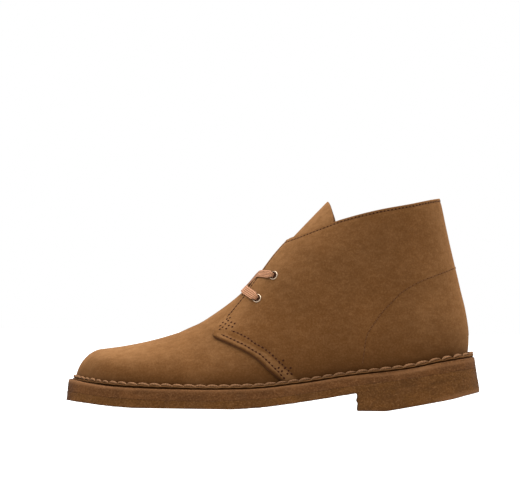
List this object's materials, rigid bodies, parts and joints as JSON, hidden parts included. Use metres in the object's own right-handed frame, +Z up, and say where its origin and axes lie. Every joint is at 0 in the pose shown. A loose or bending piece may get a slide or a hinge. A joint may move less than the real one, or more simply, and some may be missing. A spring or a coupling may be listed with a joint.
{
  "type": "chukka boot",
  "caption": "Ankle-high left chukka boot: brown suede upper turned out and stitched down on a layered crepe sole with a low heel, laced through eyelets over an open throat.",
  "frame": {"origin": "middle of the boot's overall box in plan, on the floor plane that the forefoot and heel rest on", "axes": "+X along the boot from toe to heel, +Y towards the boot's inner side so that its outer side faces -Y, +Z up"},
  "size_m": [0.3014, 0.1036, 0.1555],
  "materials": {
    "suede": "napped brown suede, matt, lighter where rubbed",
    "crepe": "rough mottled reddish-brown plantation crepe",
    "insole_leather": "smooth tan leather sock over a board",
    "lace_cotton": "flat woven tan cotton, matt",
    "eyelet_brass": "worn antique brass, satin"
  },
  "bodies": {
    "root": {"upper": "suede", "tongue": "suede", "insole": "insole_leather", "midsole": "crepe", "outsole": "crepe", "heel": "crepe", "lace": "lace_cotton", "eyelet_lower_outer": "eyelet_brass", "eyelet_upper_outer": "eyelet_brass", "eyelet_lower_inner": "eyelet_brass", "eyelet_upper_inner": "eyelet_brass"}
  },
  "joints": []
}
